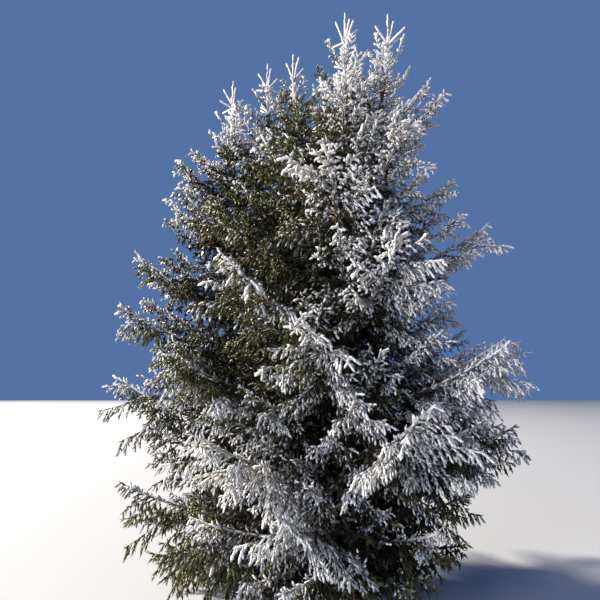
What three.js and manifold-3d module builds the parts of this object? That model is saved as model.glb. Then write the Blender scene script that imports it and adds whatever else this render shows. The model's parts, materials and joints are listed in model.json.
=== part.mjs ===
// A young Norway spruce, white with rime, that rises as five stems from one root.
// Millimetres, +Z up. The origin is the middle of the flat cut under the trunk, at ground level.
// Headings are degrees about +Z from +X, and rises are degrees above level.

import * as THREE from "three";
import { mergeVertices } from "three/addons/utils/BufferGeometryUtils.js";
import Module from "manifold-3d";

const wasm = await Module();
wasm.setup();

// Driving sizes of the whole tree
const TREE_HEIGHT = 5460;
const GAP = 0.4;
const SPRAY_GAP = 1;
const GROUND_CLEARANCE = 35;
const SEED = 4021;

// The stems. Each leaves its parent at fork and turns upright towards its top.
// Each tier of boughs has a height and, for each bough, its heading and its reach.
const STEMS = [
  {
    name: "trunk", parent: null, fork: 0, top: [95, 0, TREE_HEIGHT], radius: 86, sweep: 1.4, sides: 10,
    tiers: [
      { z: 520, boughs: [[205, 1300], [252, 1300], [305, 1000], [358, 980]], limb: true },
      { z: 1000, boughs: [[226, 1560], [280, 1520], [330, 1380], [20, 1500]] },
      { z: 1500, boughs: [[205, 1680], [255, 1640], [309, 1500], [2, 1680]] },
      { z: 2040, boughs: [[228, 1560], [282, 1500], [338, 980]] },
      { z: 2600, boughs: [[205, 1460], [258, 1400], [0, 1440]] },
      { z: 3080, boughs: [[228, 1180], [292, 1160], [348, 1040]] },
      { z: 3560, boughs: [[200, 900], [265, 880], [325, 900]] },
    ],
  },
  {
    name: "stem_left", parent: "trunk", fork: 150, top: [-1170, 800, 5250], radius: 62, sweep: 2.3, sides: 8,
    tiers: [
      { z: 480, boughs: [[148, 1800], [195, 1710]], limb: true },
      { z: 1250, boughs: [[178, 1740]] },
      { z: 1750, boughs: [[140, 1560], [212, 1430]] },
      { z: 2550, boughs: [[182, 1340]] },
      { z: 3150, boughs: [[238, 940], [150, 1060]] },
      { z: 3750, boughs: [[190, 760]] },
    ],
  },
  {
    name: "stem_middle", parent: "stem_left", fork: 850, top: [-770, 900, 5560], radius: 50, sweep: 1.7, sides: 8,
    tiers: [
      { z: 1150, boughs: [[112, 1500]] },
      { z: 1850, boughs: [[86, 1400]] },
      { z: 2650, boughs: [[118, 1250]] },
      { z: 3250, boughs: [[245, 760]] },
      { z: 3600, boughs: [[98, 920]] },
    ],
  },
  {
    name: "stem_back", parent: "trunk", fork: 640, top: [-450, 700, 5530], radius: 54, sweep: 1.7, sides: 8,
    tiers: [
      { z: 850, boughs: [[60, 1560]] },
      { z: 1550, boughs: [[38, 1500]] },
      { z: 2350, boughs: [[70, 1350]] },
      { z: 3050, boughs: [[40, 1080]] },
      { z: 3600, boughs: [[272, 700]] },
    ],
  },
  {
    name: "stem_twin", parent: "trunk", fork: 3380, top: [550, 50, 5490], radius: 30, sweep: 2.1, sides: 6,
    tiers: [{ z: 3980, boughs: [[350, 860]] }],
  },
];

// Stems
const STEM_TIP_RADIUS = 5;
const STEM_TAPER = 0.85;
const STEM_RINGS = 6;
const FLARE = { height: 170, spread: 62, lobes: 5, lobeShare: 0.22, rings: [0, 0.4, 1.1, 2.4], top: 4.5 };

// Boughs
const BOUGH_RADIUS = 23;
const BOUGH_TAPER = 0.8;
const BOUGH_TIP_RADIUS = 3.5;
const BOUGH_STEPS = 12;
const BOUGH_SIDES = 5;
const TIER_STEP = 60;
const LIMB_SHARE = 0.25;
const RISE_LOW = { foot: 0, tip: 22 };
const RISE_HIGH = { foot: 36, tip: 58 };
const RISE_CURVE = 1.4;
const CORE_RADIUS = { foot: 24, tip: 17 };
const CORE_END = 0.88;
const CORE_FULL_LENGTH = 1400;

// Sprays of needles. Angles are degrees, and shares are of the bough's length.
const SPRAY_LONGEST = 680;
const SPRAY_SMALL = 380;
const SPRAY_SHARE = 0.4;
const SPRAY_WIDTH = 0.33;
const SPRAY_THICKNESS = 0.013;
const SPRAY_COUNT = { low: 7.1, high: 4.6 };
const SPRAY_STRETCH = { from: 0.3, to: 0.9 };
const SPREAD = { foot: 68, tip: 36 };
const HANG = { low: 66, high: 52 };
const SPRAY_BEND = 26;
const LAST_SPRAY = { from: 0.82, to: 1.06, width: 0.3, bend: 10 };
const SPRAY_TRIES = [[0, 1], [16, 1], [-16, 1], [0, 0.8], [16, 0.8], [-16, 0.8], [0, 0.62]];
const TOP_WHORLS = [
  { below: 330, reach: 200, rise: 52, sprays: 4, width: 0.15, teeth: 1 },
  { below: 640, reach: 320, rise: 46, sprays: 4, width: 0.22, teeth: 1 },
  { below: 960, reach: 440, rise: 38, sprays: 4, width: 0.27, teeth: 2 },
  { below: 1280, reach: 580, rise: 30, sprays: 3, width: 0.29, teeth: 2 },
];
const TOP_BEND = 18;
const SLEEVE = { thickness: 15, sides: 5, below: 60, over: 20, tipShare: 0.6 };

const BARK = new THREE.MeshStandardMaterial({ color: "#6b5646", roughness: 0.9, metalness: 0 });
const RIMED = new THREE.MeshStandardMaterial({ color: "#c9ced6", roughness: 0.75, metalness: 0 });
const GREEN = new THREE.MeshStandardMaterial({ color: "#4a4f2c", roughness: 0.8, metalness: 0 });

const radians = THREE.MathUtils.degToRad;
const lerp = THREE.MathUtils.lerp;
const UP = new THREE.Vector3(0, 0, 1);

// A seeded row of numbers between 0 and 1, the same on every machine.
class Dice {
  constructor(seed) {
    this.state = seed;
  }
  roll() {
    this.state = (this.state * 16807) % 2147483647;
    return this.state / 2147483647;
  }
  between(low, high) {
    return lerp(low, high, this.roll());
  }
}

function direction(heading, rise) {
  const [h, r] = [radians(heading), radians(rise)];
  return new THREE.Vector3(Math.cos(r) * Math.cos(h), Math.cos(r) * Math.sin(h), Math.sin(r));
}

// Solids

function solidOf(geometry) {
  geometry.deleteAttribute("normal");
  geometry.deleteAttribute("uv");
  const merged = mergeVertices(geometry, 1e-3);
  return new wasm.Manifold(new wasm.Mesh({
    numProp: 3,
    vertProperties: merged.attributes.position.array,
    triVerts: new Uint32Array(merged.index.array),
  }));
}

function geometryOf(solid) {
  const mesh = solid.getMesh();
  const geometry = new THREE.BufferGeometry();
  geometry.setAttribute("position", new THREE.BufferAttribute(mesh.vertProperties, 3));
  geometry.setIndex(new THREE.BufferAttribute(mesh.triVerts, 1));
  return geometry;
}

// A closed cylinder whose rings are laid along a row of places, each { point, radius, along }.
// along is the ring's axis, and bulge(angle, ring) scales the radius round the ring.
function tube(rings, sides, bulge = () => 1) {
  const geometry = new THREE.CylinderGeometry(1, 1, 1, sides, rings.length - 1);
  const position = geometry.attributes.position;
  const across = new THREE.Vector3();
  const third = new THREE.Vector3();
  for (let i = 0; i < position.count; i++) {
    const ring = Math.round((position.getY(i) + 0.5) * (rings.length - 1));
    const { point, radius, along } = rings[ring];
    across.set(1, 0, 0);
    if (Math.abs(along.x) > 0.7) across.set(0, 1, 0);
    across.addScaledVector(along, -across.dot(along)).normalize();
    third.crossVectors(along, across);
    const [x, z] = [position.getX(i), position.getZ(i)];
    const size = radius * bulge(Math.atan2(x, z), ring);
    const place = point.clone().addScaledVector(across, z * size).addScaledVector(third, x * size);
    position.setXYZ(i, place.x, place.y, place.z);
  }
  return solidOf(geometry);
}

// A toothed blade: a ridged rib that bends by a small angle, with forward-pointing teeth on each side.
function blade({ root, along, normal, length, width, bend, teeth }) {
  const half = width * length;
  const points = [];
  const faces = [];
  const across = new THREE.Vector3().crossVectors(normal, along);
  const arc = radians(bend) || 1e-4;
  const add = (t, y, z) => {
    const turn = arc * t;
    const forward = (length * Math.sin(turn)) / arc - z * Math.sin(turn);
    const upward = (length * (1 - Math.cos(turn))) / arc + z * Math.cos(turn);
    const p = root.clone().addScaledVector(along, forward).addScaledVector(normal, upward);
    points.push(p.addScaledVector(across, y));
    return points.length - 1;
  };
  const spacing = 0.92 / (teeth + 0.6);
  const ribs = [];
  const tips = [];
  for (let i = 0; i <= teeth; i++) {
    const t = i * spacing;
    const thick = SPRAY_THICKNESS * length * (1 - 0.6 * t);
    const notch = i === 0 ? thick : half * 0.26 * (1 - 0.4 * t);
    ribs.push([add(t, 0, thick), add(t, -notch, 0), add(t, 0, -thick), add(t, notch, 0)]);
    const reach = half * (1 - 1.1 * ((i + 0.5) / teeth - 0.35) ** 2);
    if (i < teeth) tips.push([add(t + 1.18 * spacing, -reach, 0), add(t + 1.18 * spacing, reach, 0)]);
  }
  const end = add(1, 0, 0);
  for (let i = 0; i < teeth; i++) {
    const [top, right, bottom, left] = ribs[i];
    const [topNext, rightNext, bottomNext, leftNext] = ribs[i + 1];
    const [rightTip, leftTip] = tips[i];
    faces.push([top, right, rightTip], [top, rightTip, topNext], [topNext, rightTip, rightNext]);
    faces.push([bottom, rightTip, right], [bottom, bottomNext, rightTip], [bottomNext, rightNext, rightTip]);
    faces.push([top, leftTip, left], [top, topNext, leftTip], [topNext, leftNext, leftTip]);
    faces.push([bottom, left, leftTip], [bottom, leftTip, bottomNext], [bottomNext, leftTip, leftNext]);
  }
  const [top, right, bottom, left] = ribs[teeth];
  faces.push([top, right, end], [right, bottom, end], [bottom, left, end], [left, top, end]);
  const [first, second, third, fourth] = ribs[0];
  faces.push([first, third, second], [first, fourth, third]);
  const geometry = new THREE.BufferGeometry().setFromPoints(points);
  geometry.setIndex(faces.flat());
  return solidOf(geometry);
}

// Stems: level rings up a curve that leaves the parent at a slant and turns upright.

function stemRings(stem) {
  const heights = stem.parent ? [] : FLARE.rings.map((share) => share * FLARE.height);
  const first = stem.parent ? stem.base.z : FLARE.top * FLARE.height;
  for (let i = 0; i <= STEM_RINGS; i++) heights.push(lerp(first, stem.tip.z, i / STEM_RINGS));
  return heights.map((z) => {
    const t = (z - stem.base.z) / (stem.tip.z - stem.base.z);
    const point = stem.base.clone().lerp(stem.tip, 1 - (1 - t) ** stem.sweep).setZ(z);
    const flare = stem.parent ? 0 : FLARE.spread * Math.exp(-z / FLARE.height);
    const radius = STEM_TIP_RADIUS + (stem.radius - STEM_TIP_RADIUS) * (1 - t) ** STEM_TAPER + flare;
    return { point, radius, along: UP };
  });
}

// The stem's middle and radius at a height, on the straight run between two rings.
function stemAt(stem, z) {
  const above = stem.rings.findIndex((ring) => ring.point.z >= z);
  const [low, high] = above > 0 ? [stem.rings[above - 1], stem.rings[above]] : stem.rings.slice(-2);
  const share = (z - low.point.z) / (high.point.z - low.point.z);
  const point = low.point.clone().lerp(high.point, share);
  return { point, radius: lerp(low.radius, high.radius, share), along: UP };
}

// A stem's tube, grown outwards and past both of its ends by a margin.
function stemTube(stem, margin = 0) {
  const grow = (ring) => ({ ...ring, point: ring.point.clone(), radius: ring.radius + margin });
  const rings = stem.rings.map(grow);
  rings[0].point.z -= margin;
  rings.at(-1).point.z += margin;
  const lobe = (angle, ring) => {
    const fade = Math.exp(-rings[ring].point.z / FLARE.height);
    return stem.parent ? 1 : 1 + FLARE.lobeShare * fade * Math.cos(FLARE.lobes * angle);
  };
  return tube(rings, stem.sides, lobe);
}

// Boughs: a row of points that starts in the stem's middle and climbs more steeply towards its tip.

function boughOf(stem, { z: height, limb }, [aim, reach], name, side, dice) {
  const z = height + side * TIER_STEP + dice.between(-30, 30);
  const w = z / stem.tip.z;
  const length = reach * dice.between(0.95, 1.05);
  const foot = lerp(RISE_LOW.foot, RISE_HIGH.foot, w) + dice.between(-3, 3);
  const tip = lerp(RISE_LOW.tip, RISE_HIGH.tip, w) + dice.between(-3, 3);
  const heading = aim + dice.between(-4, 4);
  const swing = dice.between(-8, 8);
  const start = stemAt(stem, z);
  const points = [start.point];
  for (let i = 0; i < BOUGH_STEPS; i++) {
    const s = (i + 0.5) / BOUGH_STEPS;
    const step = direction(heading + swing * s, lerp(foot, tip, s ** RISE_CURVE));
    points.push(points[i].clone().addScaledVector(step, length / BOUGH_STEPS));
  }
  const radius = Math.min(BOUGH_RADIUS, 0.6 * start.radius);
  return { name, stem, heading, swing, foot, tip, length, radius, points, w, dice, limb };
}

function boughPoint(bough, s) {
  const place = s * BOUGH_STEPS;
  const i = Math.min(BOUGH_STEPS - 1, Math.floor(place));
  return bough.points[i].clone().lerp(bough.points[i + 1], place - i);
}

function boughRise(bough, s) {
  return lerp(bough.foot, bough.tip, s ** RISE_CURVE);
}

// The bough's tube between two shares of its length, radiusAt(s) thick.
function boughTube(bough, from, to, steps, sides, radiusAt) {
  const rings = [];
  for (let i = 0; i <= steps; i++) {
    const s = lerp(from, to, i / steps);
    const line = direction(bough.heading + bough.swing * s, boughRise(bough, s));
    rings.push({ point: boughPoint(bough, s), radius: radiusAt(s), along: line });
  }
  return tube(rings, sides);
}

// Sprays on a bough: they leave alternately to the left and right, hang more on the lower boughs,
// and end in one that carries the bough's own line on to its tip.
function spraysOf(bough) {
  const { dice, length, w } = bough;
  const count = Math.round(lerp(SPRAY_COUNT.low, SPRAY_COUNT.high, w / 0.7));
  const sprays = [];
  for (let i = 0; i < count; i++) {
    const s = lerp(SPRAY_STRETCH.from, SPRAY_STRETCH.to, (i + 0.3) / count);
    const side = i % 2 ? 1 : -1;
    const spread = lerp(SPREAD.foot, SPREAD.tip, s) + dice.between(-8, 8);
    const hang = lerp(HANG.low, HANG.high, Math.min(1, w / 0.75)) * (1 - 0.4 * s) + dice.between(-18, 12);
    const size = Math.min(SPRAY_LONGEST, SPRAY_SHARE * length * (1.15 - 0.5 * s)) * dice.between(0.9, 1.1);
    const heading = bough.heading + bough.swing * s + side * spread;
    const roll = dice.between(20, 60) * (dice.roll() < 0.5 ? -1 : 1);
    const spray = sprayAt(boughPoint(bough, s), heading, boughRise(bough, s) - hang, size, roll);
    const teeth = size < SPRAY_SMALL ? 1 : 2;
    sprays.push({ ...spray, width: SPRAY_WIDTH, bend: dice.between(0, SPRAY_BEND), teeth });
  }
  const { from, to, width, bend } = LAST_SPRAY;
  const roll = dice.between(25, 50) * (dice.roll() < 0.5 ? -1 : 1);
  const [root, heading] = [boughPoint(bough, from), bough.heading + bough.swing];
  const last = sprayAt(root, heading, boughRise(bough, from), (to - from) * length, roll);
  return [{ ...last, width, bend, teeth: 2 }, ...sprays];
}

// A spray that leaves root along a heading and a rise. One that would meet the ground is lifted over it.
function sprayAt(root, heading, rise, length, roll) {
  const sink = (GROUND_CLEARANCE + 0.12 * length - root.z) / length;
  const least = THREE.MathUtils.radToDeg(Math.asin(THREE.MathUtils.clamp(sink, -1, 1)));
  return aimed({ root, heading, rise: Math.max(rise, least), length, roll });
}

function aimed(spray) {
  const line = direction(spray.heading, spray.rise);
  const side = new THREE.Vector3().crossVectors(UP, line).normalize();
  const normal = new THREE.Vector3().crossVectors(line, side).applyAxisAngle(line, radians(spray.roll));
  return { ...spray, along: line, normal };
}

// The needled top of a stem: a sleeve of needles round its leader, with a whorl for each year's growth.
// Each spray starts inside the sleeve's wall, clear of the stem.
function topSprays(stem, dice) {
  const sprays = [];
  for (const whorl of TOP_WHORLS) {
    const turn = dice.between(0, 360);
    for (let i = 0; i < whorl.sprays; i++) {
      const heading = turn + (360 * (i + dice.between(-0.12, 0.12))) / whorl.sprays;
      const z = stem.tip.z - whorl.below + dice.between(-20, 40);
      const { point, radius } = stemAt(stem, z);
      const root = point.addScaledVector(direction(heading, 0), radius + GAP + 0.55 * SLEEVE.thickness);
      const length = whorl.reach * dice.between(0.85, 1.1);
      const spray = sprayAt(root, heading, whorl.rise + dice.between(-8, 8), length, dice.between(-30, 30));
      sprays.push({ ...spray, width: whorl.width, bend: TOP_BEND, teeth: whorl.teeth });
    }
  }
  return sprays;
}

function sleeve(stem) {
  const { thickness, sides, below, over, tipShare } = SLEEVE;
  const low = stem.tip.z - TOP_WHORLS.at(-1).below - below;
  const bends = stem.rings.map((ring) => ring.point.z).filter((z) => z > low + below && z < stem.tip.z);
  const rings = [low, ...bends, stem.tip.z - below].sort((a, b) => a - b).map((z) => {
    const ring = stemAt(stem, z);
    return { ...ring, radius: ring.radius / Math.cos(Math.PI / sides) + thickness };
  });
  const end = stem.tip.clone().setZ(stem.tip.z + over);
  rings.push({ point: end, radius: tipShare * thickness, along: UP });
  return tube(rings, sides).subtract(stem.grown);
}

// The largest body of a solid: a scrap that a cut has left loose is dropped.
function largest(solid) {
  const bodies = solid.decompose();
  bodies.sort((a, b) => b.volume() - a.volume());
  return bodies[0];
}

// Assembly. Every solid that has its place is a piece, and a piece's group is the node it ends up in.

const pieces = [];

function boxesMeet(a, b) {
  return a.min.every((low, i) => low - SPRAY_GAP <= b.max[i] && b.min[i] - SPRAY_GAP <= a.max[i]);
}

// Whether a solid is clear of all pieces, but for the core that it grows from.
function isClear(solid, core) {
  const box = solid.boundingBox();
  return pieces.every((piece) =>
    piece === core || !boxesMeet(box, piece.box) || solid.minGap(piece.solid, 2 * SPRAY_GAP) > SPRAY_GAP);
}

function clearOfStems(solid) {
  const box = solid.boundingBox();
  const grown = [...stems.values()].map((stem) => stem.grown);
  const near = grown.filter((other) => boxesMeet(box, other.boundingBox()));
  return largest(near.reduce((rest, other) => rest.subtract(other), solid));
}

function addPiece(group, solid, material) {
  const piece = { group, solid, box: solid.boundingBox(), material };
  pieces.push(piece);
  return piece;
}

// Stems, each cut clear of the one it forks from
const stems = new Map();
for (const stem of STEMS) {
  const parent = stems.get(stem.parent);
  stem.base = parent ? stemAt(parent, stem.fork).point : new THREE.Vector3();
  stem.tip = new THREE.Vector3(...stem.top);
  stem.rings = stemRings(stem);
  stem.grown = stemTube(stem, 1.5 * GAP);
  stems.set(stem.name, stem);
  const solid = stemTube(stem);
  addPiece(stem.name, parent ? largest(solid.subtract(parent.grown)) : solid, BARK);
}

const boughs = [];
for (const stem of STEMS) {
  stem.tiers.forEach((tier, level) => tier.boughs.forEach((aim, index) => {
    const name = `${stem.name}_${level + 1}_${index + 1}`;
    const dice = new Dice(SEED + 977 * (boughs.length + 1));
    boughs.push(boughOf(stem, tier, aim, name, index % 2 ? 1 : -1, dice));
  }));
}

// The cores: each top's sleeve, and each bough's axis. The bare inner stretch of a low bough is a limb of
// its own, and its foliage starts where that ends.
const masses = [];
for (const stem of STEMS) {
  const core = addPiece(`top_${stem.name}`, sleeve(stem), RIMED);
  masses.push({ core, sprays: topSprays(stem, new Dice(SEED + Math.round(stem.tip.z))) });
}
for (const bough of boughs) {
  const slim = Math.min(1, bough.length / CORE_FULL_LENGTH);
  const coreRadius = (s) => lerp(CORE_RADIUS.foot, CORE_RADIUS.tip, s) * slim;
  const limbRadius = (s) => lerp(bough.radius, BOUGH_TIP_RADIUS, s ** BOUGH_TAPER);
  const start = bough.limb ? LIMB_SHARE + GAP / bough.length : 0;
  if (bough.limb) {
    const limb = boughTube(bough, 0, LIMB_SHARE, 2, BOUGH_SIDES, limbRadius);
    addPiece(`bough_${bough.name}`, clearOfStems(limb), BARK);
  }
  const axis = clearOfStems(boughTube(bough, start, CORE_END, 3, 3, coreRadius));
  const shaded = ["stem_left", "stem_middle", "stem_back"].includes(bough.stem.name);
  const finish = shaded ? GREEN : RIMED;
  masses.push({ core: addPiece(`foliage_${bough.name}`, axis, finish), sprays: spraysOf(bough) });
}

// The sprays are dealt out in rounds, one to each mass, so that neighbours share the space between them.
// A spray that would touch anything is turned or shortened, and left out if that isn't enough.
const rounds = Math.max(...masses.map(({ sprays }) => sprays.length));
for (let round = 0; round < rounds; round++) {
  for (const { core, sprays } of masses.filter((mass) => round < mass.sprays.length)) {
    for (const [turn, share] of SPRAY_TRIES) {
      const spray = sprays[round];
      const solid = blade(aimed({ ...spray, heading: spray.heading + turn, length: spray.length * share }));
      if (!isClear(solid, core)) continue;
      addPiece(core.group, solid, core.material);
      break;
    }
  }
}

const group = new THREE.Group();
group.name = "norway_spruce";
for (const name of new Set(pieces.map((piece) => piece.group))) {
  const own = pieces.filter((piece) => piece.group === name);
  const solid = wasm.Manifold.union(own.map((piece) => piece.solid));
  const mesh = new THREE.Mesh(geometryOf(largest(solid)), own[0].material);
  mesh.name = name;
  group.add(mesh);
}

export default group;
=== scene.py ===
# %% [markdown]
# # A young Norway spruce, white with rime
#
# The tree is a clump: one trunk and four more stems that rise from the same flared foot, with tiers of
# boughs whose branchlets hang like curtains. Freezing fog has coated the right and the front in white rime,
# while much of the left, the back and the inside is still a dull olive green.
#
# A tree can be modelled branch by branch, scattered with a particle system, or grown by a rule. Here a rule
# grows it, because that gives thousands of twigs that all belong to one tree, and because the same rule has
# already made the plain solids in the frame: the stems and main boughs below stand exactly where those do.
# Each rigid mass of foliage is then replaced by real twigs and needles.

import json
import math

import bpy
import numpy as np
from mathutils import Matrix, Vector, noise

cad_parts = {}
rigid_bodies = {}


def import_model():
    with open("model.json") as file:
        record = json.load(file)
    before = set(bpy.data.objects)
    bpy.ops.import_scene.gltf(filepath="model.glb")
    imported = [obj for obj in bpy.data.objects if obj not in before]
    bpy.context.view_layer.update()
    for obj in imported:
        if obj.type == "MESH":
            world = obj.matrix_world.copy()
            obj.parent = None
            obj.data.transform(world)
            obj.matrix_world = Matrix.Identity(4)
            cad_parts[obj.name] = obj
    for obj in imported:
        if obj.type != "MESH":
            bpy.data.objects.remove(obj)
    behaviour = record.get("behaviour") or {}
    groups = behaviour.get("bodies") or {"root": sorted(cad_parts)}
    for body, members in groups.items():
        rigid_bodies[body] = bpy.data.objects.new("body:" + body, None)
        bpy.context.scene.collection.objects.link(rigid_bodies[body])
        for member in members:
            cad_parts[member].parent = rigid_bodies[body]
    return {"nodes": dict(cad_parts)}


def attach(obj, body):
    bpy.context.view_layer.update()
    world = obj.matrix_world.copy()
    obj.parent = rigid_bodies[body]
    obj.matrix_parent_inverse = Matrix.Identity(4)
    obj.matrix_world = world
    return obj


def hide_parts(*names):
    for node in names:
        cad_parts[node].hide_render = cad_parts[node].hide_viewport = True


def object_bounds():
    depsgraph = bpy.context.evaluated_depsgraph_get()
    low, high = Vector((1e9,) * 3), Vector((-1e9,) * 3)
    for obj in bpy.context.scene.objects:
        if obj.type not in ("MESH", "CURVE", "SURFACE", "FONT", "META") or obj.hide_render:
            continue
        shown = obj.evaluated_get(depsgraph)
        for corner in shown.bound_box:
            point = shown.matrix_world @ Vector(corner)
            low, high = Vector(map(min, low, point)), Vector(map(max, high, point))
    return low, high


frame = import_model()
CAD_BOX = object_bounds()
NODES = sorted(frame["nodes"])
print(len(NODES), "solids, from", tuple(CAD_BOX[0]), "to", tuple(CAD_BOX[1]))

# %% [markdown]
# ## The rule's small parts
#
# A seeded row of numbers stands for chance, so that the tree grows the same way every time. It is the
# simple multiply-and-remainder kind, because that gives the same numbers in any language, and the source of
# the solids draws from the same row. A direction is a heading about the vertical and a rise above level.

# %% Chance and directions
SEED = 4021
MULTIPLIER = 16807
REMAINDER = 2147483647
UP = np.array([0.0, 0.0, 1.0])
GOLDEN_ANGLE = 137.5


class Dice:
    def __init__(self, seed):
        self.state = seed

    def roll(self):
        self.state = self.state * MULTIPLIER % REMAINDER
        return self.state / REMAINDER

    def between(self, low, high):
        return low + (high - low) * self.roll()


def lerp(a, b, t):
    return a + (b - a) * t


def clamp(value):
    return min(1.0, max(0.0, value))


def direction(heading, rise):
    h, r = math.radians(heading), math.radians(rise)
    return np.array([math.cos(r) * math.cos(h), math.cos(r) * math.sin(h), math.sin(r)])


def unit(v):
    return v / np.linalg.norm(v)


print("the first roll of the dice is", round(Dice(SEED).roll(), 4))

# %% [markdown]
# ## The stems
#
# The trunk stands on the ground at the origin, lobed where its roots begin. The others leave it low down,
# or fork from it higher up, lean out, and turn upright as they race for the light. One formula gives every
# stem: it moves sideways quickly at first and then hardly at all, and it thins towards a pencil-thin tip.
# Each stem also lists its tiers of boughs: their height, and the heading and reach of each bough.

# %% Stems and their tiers of boughs
STEMS = {
    "trunk": dict(
        parent=None, fork=0.0, top=(0.095, 0, 5.46), radius=0.086, sweep=1.4,
        tiers=[
            (0.52, [(205, 1.30), (252, 1.30), (305, 1.00), (358, 0.98)]),
            (1.00, [(226, 1.56), (280, 1.52), (330, 1.38), (20, 1.50)]),
            (1.50, [(205, 1.68), (255, 1.64), (309, 1.50), (2, 1.68)]),
            (2.04, [(228, 1.56), (282, 1.50), (338, 0.98)]),
            (2.60, [(205, 1.46), (258, 1.40), (0, 1.44)]),
            (3.08, [(228, 1.18), (292, 1.16), (348, 1.04)]),
            (3.56, [(200, 0.90), (265, 0.88), (325, 0.90)]),
        ],
    ),
    "stem_left": dict(
        parent="trunk", fork=0.15, top=(-1.17, 0.80, 5.25), radius=0.062, sweep=2.3,
        tiers=[
            (0.48, [(148, 1.80), (195, 1.71)]),
            (1.25, [(178, 1.74)]),
            (1.75, [(140, 1.56), (212, 1.43)]),
            (2.55, [(182, 1.34)]),
            (3.15, [(238, 0.94), (150, 1.06)]),
            (3.75, [(190, 0.76)]),
        ],
    ),
    "stem_middle": dict(
        parent="stem_left", fork=0.85, top=(-0.77, 0.90, 5.56), radius=0.050, sweep=1.7,
        tiers=[
            (1.15, [(112, 1.50)]),
            (1.85, [(86, 1.40)]),
            (2.65, [(118, 1.25)]),
            (3.25, [(245, 0.76)]),
            (3.60, [(98, 0.92)]),
        ],
    ),
    "stem_back": dict(
        parent="trunk", fork=0.64, top=(-0.45, 0.70, 5.53), radius=0.054, sweep=1.7,
        tiers=[
            (0.85, [(60, 1.56)]),
            (1.55, [(38, 1.50)]),
            (2.35, [(70, 1.35)]),
            (3.05, [(40, 1.08)]),
            (3.60, [(272, 0.70)]),
        ],
    ),
    "stem_twin": dict(
        parent="trunk", fork=3.38, top=(0.55, 0.05, 5.49), radius=0.030, sweep=2.1,
        tiers=[(3.98, [(350, 0.86)])],
    ),
}
STEM_TIP_RADIUS = 0.005
STEM_TAPER = 0.85
STEM_RINGS = 6
FLARE_HEIGHT = 0.170
FLARE_SPREAD = 0.062
FLARE_LOBES = 5
FLARE_LOBE_SHARE = 0.22
FLARE_RINGS = (0, 0.4, 1.1, 2.4)
FLARE_ENDS = 4.5


class Stem:
    def __init__(self, name, parent, fork, top, radius, sweep, tiers):
        self.name, self.parent, self.radius = name, parent, radius
        self.sweep, self.tiers = sweep, tiers
        self.base = parent.at(fork)[0] if parent else np.zeros(3)
        self.tip = np.array(top, float)
        first = self.base[2] if parent else FLARE_ENDS * FLARE_HEIGHT
        low = [] if parent else [share * FLARE_HEIGHT for share in FLARE_RINGS]
        self.heights = low + [lerp(first, self.tip[2], i / STEM_RINGS) for i in range(STEM_RINGS + 1)]

    def curve(self, z):
        """The stem's middle and radius at a height, on its smooth line."""
        t = clamp((z - self.base[2]) / (self.tip[2] - self.base[2]))
        point = lerp(self.base, self.tip, 1 - (1 - t) ** self.sweep)
        point[2] = z
        flare = 0 if self.parent else FLARE_SPREAD * math.exp(-z / FLARE_HEIGHT)
        radius = STEM_TIP_RADIUS + (self.radius - STEM_TIP_RADIUS) * (1 - t) ** STEM_TAPER + flare
        return point, radius

    def reach(self, z):
        """How far the stem's boughs reach at a height, on the average."""
        means = [sum(reach for _, reach in aims) / len(aims) for _, aims in self.tiers]
        return float(np.interp(z, [height for height, _ in self.tiers], means))

    def at(self, z):
        """The same on the straight runs between the solid's rings, where the boughs start."""
        above = next((i for i, h in enumerate(self.heights) if h >= z), len(self.heights) - 1)
        above = max(1, above)
        low, high = self.heights[above - 1], self.heights[above]
        share = (z - low) / (high - low)
        (p, r), (q, s) = self.curve(low), self.curve(high)
        return lerp(p, q, share), lerp(r, s, share)


stems = {}
for name, facts in STEMS.items():
    stems[name] = Stem(name, **{**facts, "parent": stems.get(facts["parent"])})
print(len(stems), "stems; the tallest ends at", max(stem.tip[2] for stem in stems.values()), "m")

# %% [markdown]
# ## The boughs
#
# A bough leaves its stem almost level low down and steeply near the top, and its end turns up. A curve
# object could draw that. Here it is a row of short straight steps, so that any point along it can be found
# by its share of the length. Its height, heading and length vary a little from those in the list.

# %% Boughs
BOUGH_RADIUS = 0.023
BOUGH_TIP_RADIUS = 0.0035
BOUGH_TAPER = 0.8
BOUGH_STEPS = 12
TIER_STEP = 0.060
RISE_LOW = (0, 22)
RISE_HIGH = (36, 58)
RISE_CURVE = 1.4
BOUGH_TO_STEM = 0.6
HEIGHT_LUCK = 0.030
ANGLE_LUCK = 3
HEADING_LUCK = 4
SWING = 8


class Bough:
    def __init__(self, name, stem, z, length, foot, tip, heading, swing):
        self.name, self.stem, self.length = name, stem, length
        self.foot, self.tip, self.heading, self.swing = foot, tip, heading, swing
        self.w = z / stem.tip[2]
        self.share = 1.0
        start, stem_radius = stem.at(z)
        self.radius = min(BOUGH_RADIUS, BOUGH_TO_STEM * stem_radius)
        self.points = [start]
        for i in range(BOUGH_STEPS):
            s = (i + 0.5) / BOUGH_STEPS
            step = direction(heading + swing * s, self.rise(s))
            self.points.append(self.points[i] + step * length / BOUGH_STEPS)

    def rise(self, s):
        return lerp(self.foot, self.tip, s**RISE_CURVE)

    def point(self, s):
        place = clamp(s) * BOUGH_STEPS
        i = min(BOUGH_STEPS - 1, int(place))
        return lerp(self.points[i], self.points[i + 1], place - i)

    def radius_at(self, s):
        return lerp(self.radius, BOUGH_TIP_RADIUS, s**BOUGH_TAPER)


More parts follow.
